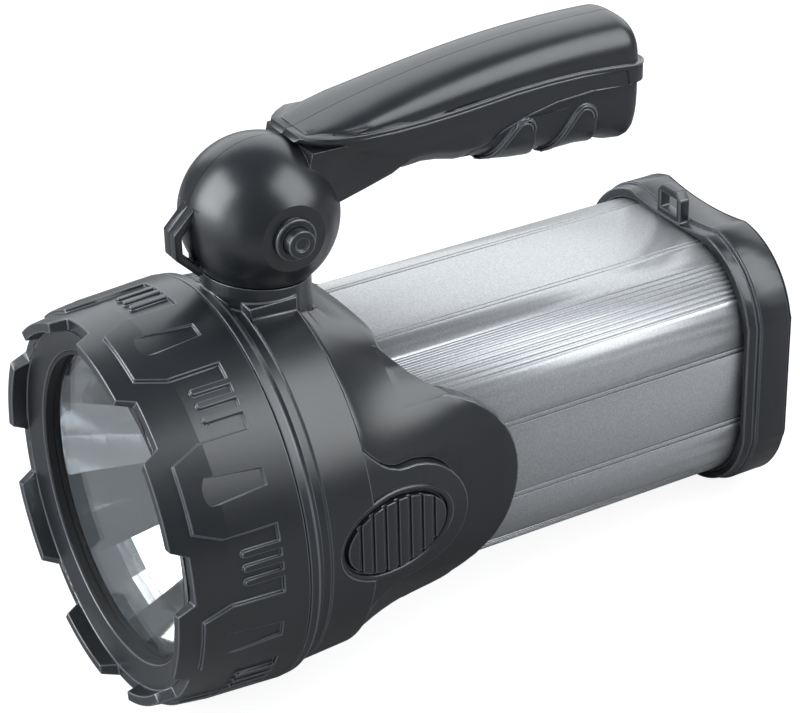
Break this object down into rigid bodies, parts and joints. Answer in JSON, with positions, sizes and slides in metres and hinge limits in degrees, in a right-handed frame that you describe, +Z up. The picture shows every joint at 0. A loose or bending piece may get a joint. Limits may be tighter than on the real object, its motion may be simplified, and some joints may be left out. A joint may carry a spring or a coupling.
{
  "type": "rechargeable hand spotlight",
  "caption": "Rechargeable camping hand spotlight: toothed round head, square aluminium body, carrying handle on a ball joint with a round lock button.",
  "frame": {"origin": "under the middle of the lamp, at the height of the bezel's lowest point", "axes": "+Z up through the handle, -Y along the beam (the lens faces -Y), +X towards the power button"},
  "size_m": [0.1226, 0.2176, 0.177],
  "materials": {
    "black_plastic": "satin, fine moulded texture",
    "soft_grip": "matt soft-touch",
    "rubber": "matt",
    "clear_lens": "clear, polished",
    "mirror_coat": "bright mirror coating",
    "blasted_aluminium": "bead blasted, satin",
    "plain_aluminium": "as machined",
    "steel": "satin",
    "circuit_board": "solder mask",
    "led_chip": "gloss",
    "switch_plastic": "matt",
    "battery_plastic": "matt",
    "battery_lid_plastic": "matt",
    "terminal_brass": "tinned satin",
    "inner_plastic": "matt",
    "component_blue": "gloss sleeves",
    "wire_red": "gloss",
    "red_lamp": "clear gloss"
  },
  "bodies": {
    "lamp": {"bezel_ring": "black_plastic", "lens": "clear_lens", "lens_gasket": "rubber", "reflector": "mirror_coat", "led_board": "circuit_board", "led_emitter": "led_chip", "led_screws": "steel", "heat_sink": "plain_aluminium", "heat_sink_screws": "steel", "head_shell": "black_plastic", "shoulder_housing": "black_plastic", "shoulder_screws": "steel", "switch_body": "switch_plastic", "switch_board": "circuit_board", "body_tube": "blasted_aluminium", "battery_case": "battery_plastic", "battery_lid": "battery_lid_plastic", "battery_terminals": "terminal_brass", "front_bracket": "inner_plastic", "rear_bracket": "inner_plastic", "driver_board": "circuit_board", "board_parts": "component_blue", "battery_leads": "wire_red", "cap_gasket": "rubber", "rear_cap": "black_plastic", "cap_screws": "steel", "charge_socket": "inner_plastic", "charge_lamp": "red_lamp"},
    "swivel": {"swivel_post": "steel", "swivel_washer": "steel", "swivel_nut": "steel"},
    "handle": {"handle_half_left": "black_plastic", "handle_half_right": "black_plastic", "finger_grip": "soft_grip", "handle_screws": "steel", "pivot_shaft": "steel", "hub_cap": "black_plastic", "button_collar": "black_plastic"},
    "lock": {"lock_button": "black_plastic", "lock_spring": "steel"},
    "power": {"power_button": "black_plastic", "switch_plunger": "switch_plastic"},
    "cover": {"socket_cover": "rubber"}
  },
  "joints": [
    {"name": "handle_swivel", "type": "hinge", "parent": "lamp", "child": "swivel", "pos_m": [0, -0.0496, 0.1143], "axis": [0, 0, 1], "range_deg": [-180, 180]},
    {"name": "handle_tilt", "type": "hinge", "parent": "swivel", "child": "handle", "pos_m": [0, -0.0496, 0.1418], "axis": [1, 0, 0], "range_deg": [-15, 6]},
    {"name": "lock_press", "type": "slide", "parent": "handle", "child": "lock", "axis": [-1, 0, 0], "range_m": [0, 0.003], "stiffness_N_per_m": 600, "springref_m": -0.001},
    {"name": "power_press", "type": "slide", "parent": "lamp", "child": "power", "axis": [-0.9905, -0.1377, 0], "range_m": [0, 0.0018], "stiffness_N_per_m": 1200, "springref_m": -0.001},
    {"name": "cover_flap", "type": "hinge", "parent": "lamp", "child": "cover", "pos_m": [0, 0.1078, 0.0503], "axis": [1, 0, 0], "range_deg": [0, 100]}
  ]
}
